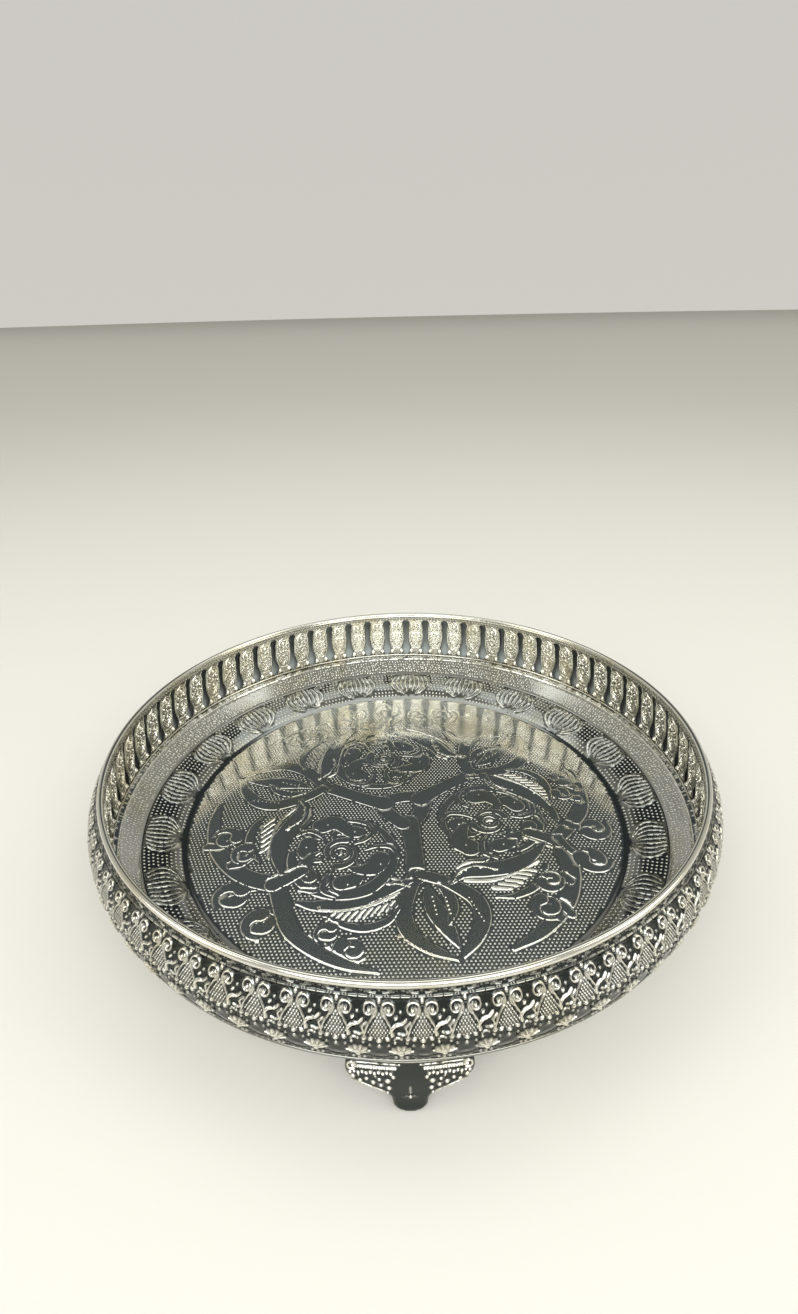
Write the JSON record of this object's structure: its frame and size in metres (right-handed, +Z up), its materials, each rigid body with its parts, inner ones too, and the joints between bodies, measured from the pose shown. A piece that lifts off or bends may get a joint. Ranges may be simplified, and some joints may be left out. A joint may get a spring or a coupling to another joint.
{
  "type": "offering plate",
  "caption": "Round footed tray for carrying offerings or cups: stamped dished plate inside a pierced gallery wall, with an embossed outer apron and cast feet.",
  "frame": {"origin": "on the table plane under the feet, at the centre of the round tray", "axes": "+Z up along the tray's axis, -Y towards the viewer through foot_1, +X to the viewer's right"},
  "size_m": [0.3159, 0.3159, 0.065],
  "materials": {
    "plate_silver": "polished silver plate, stamped relief",
    "gallery_silver": "polished silver plate, pierced and embossed",
    "apron_silver": "polished silver plate, embossed, slightly darkened hollows",
    "wire_silver": "polished silver plate",
    "foot_silver": "cast, silver plated",
    "rivet_metal": "plain"
  },
  "bodies": {
    "root": {"tray_plate": "plate_silver", "gallery_band": "gallery_silver", "gallery_base_wire": "wire_silver", "rim_moulding": "wire_silver", "apron_band": "apron_silver", "apron_edge_wire": "wire_silver", "foot_1": "foot_silver", "foot_2": "foot_silver", "foot_3": "foot_silver", "foot_rivets_1": "rivet_metal", "foot_rivets_2": "rivet_metal", "foot_rivets_3": "rivet_metal"}
  },
  "joints": []
}
